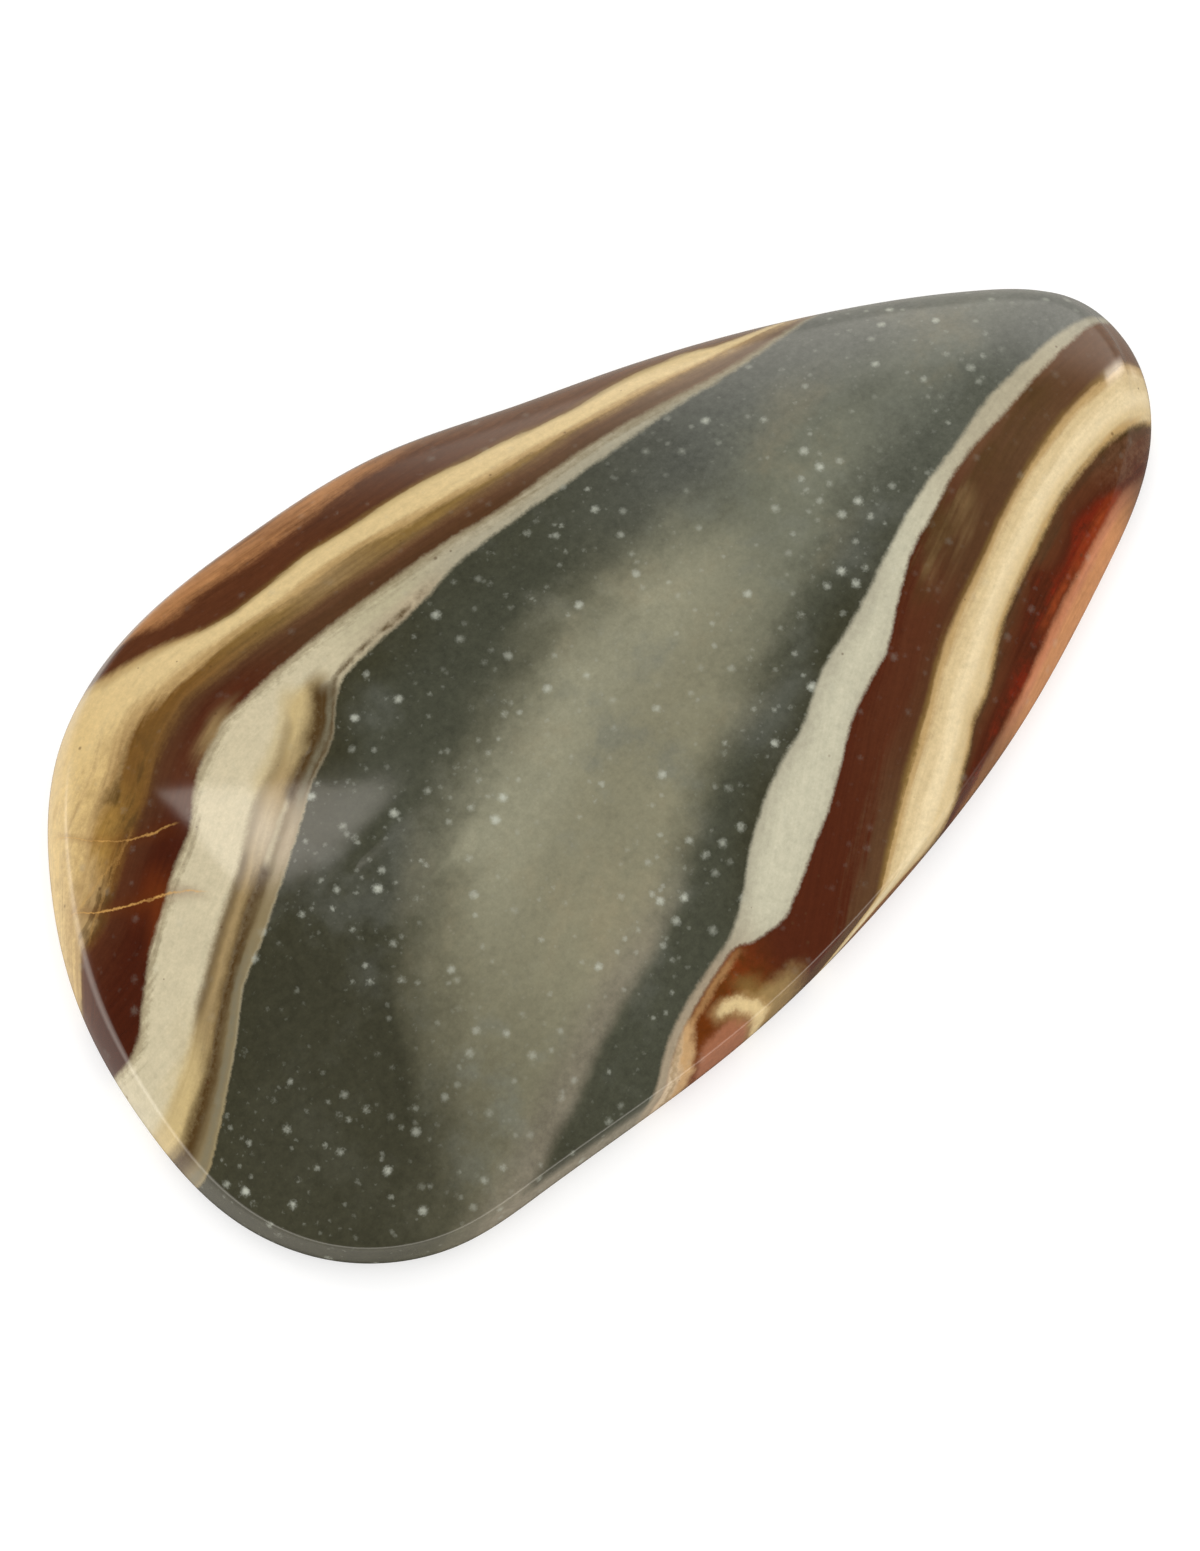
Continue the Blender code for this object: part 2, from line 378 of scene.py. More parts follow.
def close_crown(bm, loop):
    """Joins the two sides of the long thin last ring with a strip of triangles."""
    count = len(loop)
    start = max(range(count), key=lambda i: loop[i].co.x)
    end = min(range(count), key=lambda i: loop[i].co.x)
    far = [loop[(start + i) % count] for i in range((end - start) % count + 1)]
    near = [loop[start - i] for i in range((start - end) % count + 1)]
    i, j = 1, 1
    bm.faces.new((far[0], far[1], near[1]))
    while i < len(far) - 2 or j < len(near) - 2:
        if j == len(near) - 2 or (i < len(far) - 2 and far[i + 1].co.x > near[j + 1].co.x):
            bm.faces.new((near[j], far[i], far[i + 1]))
            i += 1
        else:
            bm.faces.new((far[i], near[j + 1], near[j]))
            j += 1
    bm.faces.new((far[i], far[-1], near[j]))


def skin(rings):
    """A closed mesh over the rings, with one face under the flat back."""
    mesh = bpy.data.meshes.new("polished_skin")
    bm = bmesh.new()
    loops = [[bm.verts.new(point) for point in line * MM] for line in rings]
    for low, high in zip(loops, loops[1:]):
        for i in range(len(low)):
            j = (i + 1) % len(low)
            bm.faces.new((low[i], low[j], high[j], high[i]))
    bm.faces.new(reversed(loops[0]))
    close_crown(bm, loops[-1])
    bm.to_mesh(mesh)
    bm.free()
    mesh.shade_smooth()
    return mesh


# ---------------------------------------------------------------------------
# Shader maths
# ---------------------------------------------------------------------------


def arithmetic(operation, reflected=False):
    """A method of Field that adds one Math node. A reflected one has the other value first."""

    def method(self, other):
        return self.math(operation, *((other, self) if reflected else (self, other)))

    return method


class Field:
    """A node socket. Arithmetic on it adds Math nodes to its tree."""

    def __init__(self, tree, socket):
        self.tree = tree
        self.socket = socket

    def math(self, operation, *values):
        return self.tree.node("ShaderNodeMath", {"operation": operation}, dict(enumerate(values)))

    __add__ = __radd__ = arithmetic("ADD")
    __sub__ = arithmetic("SUBTRACT")
    __rsub__ = arithmetic("SUBTRACT", reflected=True)
    __mul__ = __rmul__ = arithmetic("MULTIPLY")
    __truediv__ = arithmetic("DIVIDE")
    __pow__ = arithmetic("POWER")
    at_least = arithmetic("MAXIMUM")
    at_most = arithmetic("MINIMUM")

    def __neg__(self):
        return self * -1.0

    def __abs__(self):
        return self.math("ABSOLUTE", self)

    def step(self, low, high):
        """0 below low and 1 above high, with a smooth rise between."""
        return self.tree.node(
            "ShaderNodeMapRange",
            {"interpolation_type": "SMOOTHSTEP", "clamp": True},
            {"Value": self, "From Min": low, "From Max": high},
        )

    def fall(self, low, high):
        """1 below low and 0 above high, with a smooth fall between."""
        return 1 - self.step(low, high)

    def peak(self, width):
        """1 where this is 0, falling smoothly to 0 at width to either side."""
        return abs(self).fall(0.0, width)

    def clamped(self, low=0.0):
        """This kept between low and 1."""
        return self.at_least(low).at_most(1.0)


class Tree:
    """A material's node tree."""

    def __init__(self, tree):
        self.tree = tree

    def node(self, kind, settings=None, inputs=None, output=0):
        """Adds a node: first its settings, then its sockets, each a value or a link."""
        made = self.tree.nodes.new(kind)
        for name, value in (settings or {}).items():
            if name == "stops":
                set_stops(made.color_ramp, value)
            elif name == "points":
                set_points(made.mapping, value)
            else:
                setattr(made, name, value)
        for name, value in (inputs or {}).items():
            if isinstance(value, Field):
                self.tree.links.new(value.socket, made.inputs[name])
            else:
                made.inputs[name].default_value = value
        return Field(self, made.outputs[output])

    def join(self, x, y, z):
        return self.node("ShaderNodeCombineXYZ", {}, {"X": x, "Y": y, "Z": z})

    def split(self, place):
        node = self.node("ShaderNodeSeparateXYZ", {}, {"Vector": place}).socket.node
        return [Field(self, node.outputs[axis]) for axis in "XYZ"]

    def vector(self, operation, inputs, output=0):
        return self.node("ShaderNodeVectorMath", {"operation": operation}, inputs, output)

    def scaled(self, place, amount):
        return self.vector("SCALE", {"Vector": place, "Scale": amount})

    def shifted(self, place, by):
        return self.vector("ADD", {0: place, 1: by})

    def noise(self, place, scale, detail=2.0, roughness=0.5):
        """Smooth 3-D noise about 0, from roughly -0.5 to 0.5."""
        sockets = {"Vector": place, "Scale": scale, "Detail": detail, "Roughness": roughness}
        return self.node("ShaderNodeTexNoise", {}, sockets) - 0.5

    def spots(self, place, scale):
        """The distance to the nearest of a scatter of points, and that point's random value."""
        made = self.node("ShaderNodeTexVoronoi", {}, {"Vector": place, "Scale": scale})
        node = made.socket.node
        chance = self.node("ShaderNodeSeparateColor", {}, {"Color": Field(self, node.outputs[1])})
        return made / scale, chance

    def line(self, u, points):
        """The v of a drawn line at u, both in millimetres."""
        low_u, high_u = PLAN_U
        low_v, high_v = PLAN_V
        long, wide = high_u - low_u, high_v - low_v
        shares = [((a - low_u) / long, (b - low_v) / wide) for a, b in points]
        height = self.node("ShaderNodeFloatCurve", {"points": shares}, {"Value": (u - low_u) / long})
        return height * wide + low_v

    def ramp(self, share, stops, easing="EASE"):
        """A colour along share, from (place, colour) stops."""
        return self.node("ShaderNodeValToRGB", {"stops": (easing, stops)}, {"Fac": share})

    def mix(self, share, below, above):
        """The colour below where share is 0, and above where it is 1."""
        return self.node("ShaderNodeMix", {"data_type": "RGBA"}, {0: share, 6: below, 7: above}, 2)

    def shade(self, colour, amount):
        """The colour, brighter where amount is above 0 and darker where it is below."""
        return self.scaled(colour, amount + 1)


def set_stops(ramp, value):
    easing, stops = value
    ramp.interpolation = easing
    elements = ramp.elements
    elements[0].position, elements[0].color = stops[0]
    elements[1].position, elements[1].color = stops[-1]
    for place, colour in stops[1:-1]:
        elements.new(place).color = colour


def set_points(mapping, points):
    curve = mapping.curves[0]
    curve.points[0].location = points[0]
    curve.points[1].location = points[-1]
    for point in points[1:-1]:
        curve.points.new(*point)
    for point in curve.points:
        point.handle_type = "AUTO_CLAMPED"
    mapping.update()


# ---------------------------------------------------------------------------
# The jasper
# ---------------------------------------------------------------------------


class Jasper:
    """The stone's colour, roughness and polish at every spot of the rock."""

    def __init__(self, tree, colours):
        self.tree = tree
        self.colours = colours
        place = tree.node("ShaderNodeTexCoord", {}, {}, "Object")
        self.rock = tree.scaled(place, 1 / MM)
        x, y, z = tree.split(self.rock)
        height = z - DIP_HEIGHT
        # Below the arris the strata wander, and here and there they lean outwards.
        self.depth = (-height).at_least(0)
        wander = tree.noise(self.rock, *WANDER) * self.depth * 0.5
        broad_end = x.fall(-34, -28) * y.step(1, 7)
        near_side = x.step(-12, -6) * x.fall(0, 8) * y.fall(-14, -8)
        lean = self.depth.at_most(DIP_HEIGHT / 2) * (broad_end - near_side) * OUTWARD_LEAN
        self.u = x + height * DIP[0] + wander
        self.plain_v = y + height * DIP[1] + lean - wander
        self.cloud = tree.noise(self.rock, *CLOUD)
        self.puff = tree.noise(self.rock, *PUFF)
        self.ragged = tree.noise(self.rock, *RAGGED)
        self.chalk = tree.noise(self.rock, *CHALK)
        self.grain = tree.noise(self.rock, *GRAIN)
        # v with the ragged edge that parts one band from the next
        self.v = self.plain_v + self.ragged * 0.3 + self.grain * 0.24

    def above(self, line, soft=0.36, wisp=None):
        """1 on the +v side of a line, over a soft edge that wide in millimetres."""
        off = self.v - line if wisp is None else self.v - line + wisp
        return off.step(-soft / 2, soft / 2)

    def below(self, line, soft=0.36, wisp=None):
        """1 on the -v side of the same soft edge."""
        return 1 - self.above(line, soft, wisp)

    def lines(self, *edges):
        """The v of each of these drawn lines."""
        return [self.tree.line(self.u, edge) for edge in edges]

    def lay(self, colour, share, tint, mottle):
        """Lays a mottled tint over the colour where share is 1."""
        return self.tree.mix(share, colour, self.tree.shade(tint, mottle))

    def streaks(self, line, along=0.16, across=1.1, detail=2, seed=0):
        """Noise drawn out along a line."""
        place = self.tree.join(self.u * along, (self.plain_v - line) * across, seed)
        return self.tree.noise(place, 1, detail, 0.55)

    def texture(self, line, seed, fine_seed):
        """Broad and fine streaks along a line, the wisps they draw its edges into, and its dust."""
        streak = self.streaks(line, seed=seed)
        fine = self.streaks(line, 0.24, 3.4, 3, fine_seed)
        wisp = streak * 0.8 + fine * 0.4 + self.chalk * 0.3
        return streak, fine, wisp, self.chalk * 0.5 + fine * 0.2

    def within(self, start, end, fade=2):
        """1 where u lies between start and end, fading out over that many millimetres outside."""
        return self.u.step(start - fade, start) * self.u.fall(end, end + fade)

    def along(self, stops):
        """A colour along the slab, from (u, colour) stops."""
        low, high = stops[0][0], stops[-1][0]
        shares = [((u - low) / (high - low), tint) for u, tint in stops]
        return self.tree.ramp((self.u - low) / (high - low), shares)

    def body(self):
        """The green-grey chert, darker towards its edges, with a paler mist along the middle."""
        tree, tones = self.tree, self.colours
        u, v = self.u, self.plain_v
        top, foot, green, pale_edge = self.lines(MIST_TOP, MIST_FOOT, GREEN_EDGE, PALE_EDGE)
        drift = self.streaks(top, 0.1, 0.3)
        wobble = self.cloud * 5 + self.puff * 2.4 + drift * 2

        dark = self.along([
            (-37, tones.chert_umber), (-27, tones.chert_umber), (-16, tones.chert_dark),
            (8, tones.chert_dark), (24, tones.chert_grey),
        ])
        slate = u.step(-2, 16) * (v + wobble).step(0.5, 4.5) * 0.8
        slate = slate.at_least(u.step(24, 34))
        veil = (self.cloud * 2 + self.puff).step(-0.05, 0.35) * u.step(-37, -22) * 0.25
        dark = tree.mix((slate * 0.85).at_least(veil), dark, tones.chert_slate)
        rim_top = (green - v + wobble * 0.3).fall(0.2, 3)
        rim_foot = (v - pale_edge + wobble * 0.3).fall(0.1, 2.4)
        rim_top = rim_top * (self.within(-19, -12, 6) * 0.7 + 0.3)
        rim_foot = rim_foot * u.step(-10, -2) * (1 - u.step(8, 20) * 0.8)
        rim = rim_top.at_least(rim_foot * 0.8) * (1 - slate * 0.7)
        dark = tree.mix(rim * 0.85, dark, tones.chert_black)

        pale = self.along([
            (-36, tones.chert_olive), (-26, tones.chert_moss), (-14, tones.chert_mist),
            (-2, tones.chert_mist), (12, tones.chert_haze), (28, tones.chert_pewter),
        ])
        crest = (top - 3.8 - v + wobble * 0.6).peak(4.8) * self.within(-14, 2, 8)
        pale = tree.mix(crest * 0.8, pale, tones.chert_crest)
        brown = (self.ragged * 0.6 + drift + self.cloud * 1.6).step(0, 0.45)
        pale = tree.mix(brown * 0.4, pale, tones.chert_brown)
        cool = (self.puff * 1.4 - self.cloud * 1.6).step(0.08, 0.45)
        pale = tree.mix(cool * 0.5, pale, tones.chert_pewter)

        over_foot = (v - foot + wobble * 0.4).step(-1, 3.2)
        under_top = (top - v + wobble).step(-3, 5)
        mist = over_foot * under_top * (u + wobble * 0.6).step(-36, -22)
        colour = tree.mix(mist, dark, pale)
        across = abs(u - PUFF_PLACE[0]) / PUFF_REACH[0]
        up = abs(v - PUFF_PLACE[1]) / PUFF_REACH[1]
        puff = (across + up + self.puff * 2).fall(0.2, 1.1) * 0.7
        colour = tree.mix(puff, colour, tones.chert_crest)
        hem = (v - foot - 0.4 + self.puff * 0.8).step(-0.9, 0.3) * (v - foot).fall(0.2, 3.6)
        colour = tree.mix(hem * u.fall(-16, -6) * 0.6, colour, tones.chert_lilac)
        mottle = self.chalk * (1 - mist * 0.45) + self.puff * 0.3 + self.cloud * 0.3 + drift * 0.2
        skirt = self.depth.step(0, 1) * self.within(-25, -14, 4)
        skirt = skirt * (v + 14).fall(-3, 3)
        colour = tree.mix(skirt * 0.85, colour, tones.chert_lilac)
        return tree.shade(colour, mottle)

    def upper_bands(self, colour):
        """The bands that run along the +Y side and down to the broad end."""
        tree, tones = self.tree, self.colours
        u, v = self.u, self.plain_v
        green, maroon, olive, cream, plum, caramel = self.lines(
            GREEN_EDGE, MAROON_EDGE, OLIVE_EDGE, CREAM_EDGE, PLUM_EDGE, CARAMEL_EDGE
        )
        streak, fine, wisp, dusty = self.texture(olive, 0, 4)

        # Pale band: bone at the broad end and ash along the side
        pale = self.along([
            (-36, tones.bone), (-30, tones.bone), (-24, tones.bone_light), (-20, tones.bone_light),
            (-15, tones.bone), (-9, tones.ash), (-3, tones.ash_dull), (14, tones.ash_grey),
        ])
        share = (self.v - green) / (maroon - green).at_least(0.2) + streak * 0.3
        side = u.step(-14, -8)
        lower_half = share.fall(0.15, 0.6) * side
        pale = tree.mix(lower_half * 0.4, pale, tones.ash_grey)
        pale = tree.mix(lower_half * u.fall(-8, -4) * 0.7, pale, tones.pink_ash)
        stain = (maroon - v + fine * 1.2 + self.chalk).fall(0, 0.8)
        pale = tree.mix(stain * 0.6, pale, tones.tan)
        corner = u.fall(-36, -31.5) * (v - green - 3.2 + streak * 2).fall(-1.4, 1.6)
        pale = tree.mix(corner * 0.75, pale, tones.gold_cream)
        pale = tree.shade(pale, dusty + self.puff * 0.2)

        # Maroon, shading to russet along the side
        share = (v - maroon) / (olive - maroon).at_least(0.2) + wisp * 0.6
        red = self.along([
            (-36, tones.maroon_deep), (-27, tones.maroon_deep), (-24, tones.maroon_brown),
            (-20, tones.maroon), (-12, tones.umber), (-2, tones.umber), (6, tones.cocoa_dark),
            (16, tones.cocoa),
        ])
        outer = self.along([
            (-36, tones.maroon_brown), (-20, tones.umber), (-8, tones.russet), (6, tones.russet),
            (16, tones.cocoa_light),
        ])
        red = tree.mix(share.step(0.35, 1.1), red, outer)
        knee = (u + 20.9 + wisp * 2.4).peak(2.8) * (v - maroon - streak).fall(0.3, 1.3)
        red = tree.mix(knee, red, tones.khaki)
        ember = (u + 29.8 + streak * 3).peak(2.2) * share.peak(1)
        red = tree.mix(ember * 0.6, red, tones.rust)

        # Olive gold
        share = (v - olive) / (cream - olive).at_least(0.2) + wisp * 0.8
        deep = self.along([
            (-36, tones.olive_amber), (-27, tones.olive_amber), (-20, tones.olive_dark),
            (-10, tones.olive_drab), (6, tones.olive_drab),
        ])
        middle = self.along([
            (-36, tones.gold), (-31.5, tones.gold), (-29, tones.gold_olive),
            (-25, tones.olive_amber), (-20, tones.olive_amber), (-14, tones.olive),
            (-10, tones.khaki), (-4, tones.olive), (6, tones.olive),
        ])
        gold = tree.mix(share.step(0.05, 0.6), deep, middle)
        gold = tree.mix(share.step(0.6, 1.1), gold, tones.gold)
        murk = (self.puff * 1.5 + fine + streak).step(-0.05, 0.3) * u.fall(-27, -20)
        gold = tree.mix(murk * share.fall(0.5, 1.3) * 0.8, gold, tones.olive_brown)

        # Cream, golden round the broad end
        share = (v - cream) / (plum - cream).at_least(0.4) + wisp * 0.4
        warm = tree.ramp(share, [
            (0, tones.gold), (0.3, tones.cream), (0.7, tones.cream), (0.9, tones.gold_cream),
            (1, tones.olive),
        ])
        rim = u.fall(-30, -18)
        warm = tree.mix(rim * (share * 1.2 + wisp + 0.2).step(0, 0.7) * 0.9, warm, tones.gold_rim)
        crust = share.step(0.68, 1) * self.within(-25, -18, 3)
        warm = tree.mix(crust * 0.8, warm, tones.gold)
        smudge = (self.puff * 1.6 + fine * 1.2 + streak - share * 0.3).step(0, 0.45)
        warm = tree.mix(rim * smudge * 0.4, warm, tones.olive)

        # Plum and caramel
        wine = self.along([
            (-24, tones.plum), (-10, tones.plum), (-3, tones.plum_brown), (10, tones.mauve),
        ])
        share = (v - plum) / (caramel - plum).at_least(0.3) + wisp * 1.3
        wine = tree.mix(share.step(0.6, 1.4) * 0.5, wine, tones.nut)
        glint = (streak + fine * 0.4 + self.puff * 0.5).step(-0.3, 0.2)
        nut = tree.mix(glint, tones.nut, tones.caramel)
        nut = tree.mix(u.step(-5, 5), nut, tones.mauve)

        colour = tree.mix(self.above(green, 0.4), colour, pale)
        colour = self.finger(colour, green)
        colour = self.lay(colour, self.above(maroon, 0.4), red, fine * 0.5 + self.chalk * 0.4)
        colour = self.lay(colour, self.above(olive, 0.9, wisp * 0.7), gold, fine * 0.5 + dusty)
        colour = self.lay(colour, self.above(cream, 0.8, wisp * 0.8), warm, dusty)
        colour = self.lay(colour, self.above(plum, 0.7, wisp * 0.6), wine, fine * 0.5 + dusty)
        return self.lay(colour, self.above(caramel, 1.1, wisp * 0.9), nut, fine * 0.3 + dusty)

    def finger(self, colour, green):
        """The golden finger with its dark outline, folded inside the pale band at the broad end."""
        tree, tones = self.tree, self.colours
        olive, dark = self.lines(OLIVE_LINE, DARK_LINE)
        streak = self.streaks(olive, 0.2, 1.6, 3, 2)
        v = self.plain_v + self.ragged * 0.3 + streak * 0.4 + self.grain * 0.2
        left = self.u.fall(-15.8, -14)

        # Under the dark line, tan towards the rim and an umber wedge by the finger's tip
        under = (v - dark).fall(-0.3, 0.2)
        below = self.along([
            (-37, tones.tan), (-25, tones.tan), (-23.5, tones.drab_ash), (-21.5, tones.drab_ash),
            (-19.5, tones.olive_brown), (-14, tones.olive_brown),
        ])
        colour = tree.mix(self.above(green, 0.3) * left * under, colour, below)
        # The flesh between the two lines, with a golden halo over its tip
        flesh = self.along([
            (-37, tones.gold_cream), (-35, tones.gold_cream), (-32, tones.tan_gold),
            (-26.5, tones.tan_gold), (-23.5, tones.pink_ash), (-21, tones.tan_gold),
            (-18, tones.gold_cream), (-16, tones.gold_cream),
        ])
        flesh = tree.shade(flesh, streak * 0.8 + self.chalk * 0.3)
        upper_side = (v - olive).fall(-0.3, 0.5)
        colour = tree.mix((v - dark).step(0, 0.35) * upper_side * left * 0.9, colour, flesh)
        halo = (v - olive - 0.3).peak(1.1) * self.within(-21.5, -17.2, 1.5)
        colour = tree.mix(halo * 0.55, colour, tones.gold_cream)
        # The two lines, broken where the strip runs pinkish
        upper = (v - olive).peak(0.6) * self.within(-32, -25.5, 1.5) * 0.7
        faint = (v - olive).peak(0.6) * self.within(-25, -18.4, 1) * 0.35
        lower = (v - dark).peak(0.85) * left * (1 - self.within(-24.4, -21.8, 0.8) * 0.75)
        foot = (v - dark).peak(1.2) * self.u.fall(-34, -31.5)
        tip = (v - dark - 0.1).peak(1.4) * self.u.step(-20, -17.8) * left
        lines = upper.at_least(lower).at_least(foot).at_least(tip).at_least(faint)
        lines = lines * (streak * 0.3 + self.chalk * 0.7 + 0.98).at_most(1)
        colour = tree.mix(lines, colour, tones.olive_brown)
        # The pale hair along the green body, and the dark seam that carries it on
        hair = (v - green - 0.38).peak(0.45) * self.u.fall(-15.5, -13.5)
        strand = self.along([
            (-37, tones.hair), (-30, tones.hair), (-27, tones.tan), (-23, tones.pink_ash),
            (-20, tones.hair), (-14, tones.hair),
        ])
        colour = tree.mix(hair * (self.chalk * 1.4 + 0.75).clamped(), colour, strand)
        seam = (v - green - 0.35).peak(0.4) * self.within(-14, -8, 3)
        return tree.mix(seam * (self.ragged * 2.6 + 0.5).at_least(0), colour, tones.olive_brown)

    def lower_bands(self, colour):
        """The bands that run from the narrow end down to the -Y side."""
        tree, tones = self.tree, self.colours
        u, v = self.u, self.plain_v
        pale, rust, gold, plum, red, caramel = self.lines(
            PALE_EDGE, RUST_EDGE, GOLD_EDGE, PLUM_LINE, RED_LINE, CARAMEL_LINE
        )
        streak, fine, wisp, dusty = self.texture(gold, 7, 9)

        ash = self.along([
            (-16, tones.lilac_ash), (-9, tones.lilac_ash), (-5, tones.ash_light),
            (4, tones.ash_light), (14, tones.ash_light), (24, tones.ash_dull), (30, tones.ash_dull),
            (36, tones.ash_grey),
        ])
        seam = (rust + 1.1 - v + self.ragged).step(0, 1.3) * 0.6
        hem = (pale - v + self.ragged * 0.4).fall(0, 1.6).at_least(seam)
        ash = tree.mix(hem * self.within(-7, 12, 3) * 0.6, ash, tones.ash_grey)
        ash = tree.shade(ash, dusty + self.puff * 0.2)

        # Maroon to umber, with a khaki ribbon drawn through it
        share = (rust - v) / (rust - gold).at_least(0.3) + wisp * 0.4
        brown = self.along([
            (-2, tones.maroon), (13, tones.maroon_brown), (18, tones.umber), (26, tones.cocoa_dark),
            (36, tones.russet),
        ])
        edge = tree.mix(u.step(15, 24), tones.maroon, tones.russet)
        brown = tree.mix(share.step(0.02, 0.3), edge, brown)
        low_end = u.fall(3, 9)
        brown = tree.mix(share.step(0.6, 1) * u.fall(10, 22) * 0.7, brown, tones.umber)
        outer = (share + streak * 0.4).step(0.5, 0.75) * low_end
        brown = tree.mix(outer * 0.8, brown, tones.cocoa_dark)
        drab = (streak + self.puff).step(-0.15, 0.25) * self.within(15, 28, 3)
        brown = tree.mix(drab * share.peak(1.1) * 0.7, brown, tones.olive_brown)
        ribbon = (share - 0.42 + streak * 0.5).peak(0.32) * self.within(16, 19.5, 2)
        thread = self.streaks(gold, 0.26, 0.8, 2, 3)
        brown = tree.mix(ribbon * (thread * 3 + 0.45).clamped() * 0.6, brown, tones.khaki)

        # Cream
        share = (gold - v) / (gold - plum).at_least(0.3) + wisp * 0.3
        cream = tree.ramp(share, [
            (0, tones.olive), (0.08, tones.gold), (0.3, tones.straw), (0.6, tones.cream_light),
            (0.84, tones.straw), (1, tones.gold),
        ])

        # Plum, with a fire in its heart
        share = (plum - v) / (plum - red).at_least(0.3) + wisp * 0.6
        wine = tree.ramp(share, [
            (0, tones.olive_brown), (0.2, tones.umber), (0.5, tones.plum), (1, tones.maroon),
        ])
        dull = (self.puff + self.chalk).step(-0.1, 0.25) * u.step(26, 32)
        wine = tree.mix(dull * 0.8, wine, tones.mauve)
        share = (red - v) / (red - caramel).at_least(0.3)
        blaze = u.step(21, 25) * u.fall(27, 30) * 0.3
        lit = (streak + self.puff + self.chalk * 0.6 + blaze).step(-0.1, 0.4)
        fire = tree.mix(lit, tones.maroon, tones.red)
        flame = (v - caramel - 0.45 + streak * 1.2).peak(0.7) * self.within(21, 28, 3)
        fire = tree.mix(flame * (self.ragged * 1.8 + 0.6).clamped(), fire, tones.orange)

        # Caramel, dull where it runs out at either end
        below = caramel - v + wisp * 0.5
        nut = tree.ramp(below / 1.4, [
            (0, tones.pink), (0.25, tones.pink), (0.7, tones.caramel_light),
            (1, tones.caramel_light),
        ])
        nut = tree.mix(u.fall(12, 17), nut, tones.nut)
        nut = tree.mix(u.step(27, 32.5), nut, tones.mauve)

        colour = tree.mix(self.below(pale, 0.45), colour, ash)
        colour = self.lay(colour, self.below(rust, 0.4), brown, fine * 0.4 + self.chalk * 0.4)
        colour = self.swirl(colour, rust)
        colour = self.lay(colour, self.below(gold, 0.8, wisp * 0.8), cream, dusty)
        colour = self.lay(colour, self.below(plum, 0.6, wisp * 0.5), wine, fine * 0.5 + dusty)
        colour = self.lay(colour, self.below(red, 0.8, wisp * 0.8), fire, fine * 0.7 + dusty)
        return self.lay(colour, self.below(caramel, 0.6, wisp * 0.5), nut, fine * 0.4 + dusty)

    def swirl(self, colour, rust):
        """The agate eye low on the -Y side: a rust heart in a cream hook."""
        tree, tones = self.tree, self.colours
        u = self.u + self.puff * 1.2 + self.ragged * 0.7
        v = self.plain_v + self.ragged * 0.6 + self.grain * 0.3
        across = abs(u - EYE_PLACE[0]) / EYE_REACH[0]
        up = abs(v - EYE_PLACE[1]) / EYE_REACH[1]
        off = (across**2.2 + up**2.2) ** 0.45

        # The heart, orange above and pink below, in a dark ring
        heart = tree.mix((v + 20.2 + self.puff).step(-0.4, 0.4), tones.rust_pink, tones.amber)
        heart = tree.mix((off - 0.84).peak(0.2) * 0.8, heart, tones.amber)
        # Outside it: olive beside the hook, then rust, darkening to the right
        mottle = (self.ragged + self.chalk + self.puff).step(-0.2, 0.3)
        rusty = tree.mix(mottle, tones.rust_brown, tones.rust)
        rusty = tree.mix(u.fall(-12, -9.5), rusty, tones.amber)
        rusty = tree.mix((u + 9.6).step(0.8, 4.4), rusty, tones.maroon)
        halo = (off - 1.3).peak(0.5) * (u + 9.2).step(-0.5, 0.8)
        rusty = tree.mix(halo * 0.8, rusty, tones.olive)
        glow = (v - rust + 0.3).peak(0.45) * u.fall(-9, -7)
        rusty = tree.mix(glow * 0.9, rusty, tones.rust_glow)
        skirt = (v + 20.3 + self.puff).fall(-0.6, 0.5) * self.within(-7.4, -5, 1)
        rusty = tree.mix(skirt * 0.8, rusty, tones.tan_gold)
        eye = tree.mix(off.step(0.84, 1), heart, rusty)
        # The hook, thin at its tip and broad where it meets the side
        east = u.step(-11.6, -10.2)
        broad = (v + 20).step(-1.2, 0.4) * -0.12 + 0.42
        hook = (abs(off - 1.04) / broad).fall(0, 1.1) * east
        eye = tree.mix(hook * 0.95, eye, tree.mix(hook.step(0.35, 0.9), tones.gold, tones.cream))
        # To the left it runs out in golden and pinkish wisps
        slant = self.u - (self.plain_v + 20.5) * 0.6 + self.ragged * 1.4
        eye = tree.mix(slant.fall(-13.6, -12.8), eye, tones.peach)
        dip = (slant + 14.6 + self.ragged).peak(0.5)
        eye = tree.mix(slant.fall(-14.6, -13.8), eye, tones.pink_grey)
        eye = tree.mix(dip * 0.6, eye, tones.khaki)
        share = self.below(rust, 0.4) * (self.u + self.ragged * 1.4).fall(-6.6, -4)
        return self.lay(colour, share, eye, self.chalk * 0.6)

    def cracks(self, colour):
        """Healed cracks with a rusty glow round them, filled with golden chalcedony."""
        tree = self.tree
        broken = (self.chalk * 3 + self.puff * 2 + 0.8).clamped(0.25)
        for points, strength in CRACKS:
            line = tree.line(self.u, points)
            inside = self.within(points[0][0] + 0.3, points[-1][0] - 1.2, 0.8)
            off = self.v + self.ragged * 0.2 - line
            glow = off.peak(CRACK_GLOW) * inside * strength * 0.45
            colour = tree.mix(glow, colour, self.colours.amber)
            filling = off.peak(CRACK_WIDTH) * inside * broken * strength
            colour = tree.mix(filling, colour, self.colours.gold_vein)
        return colour

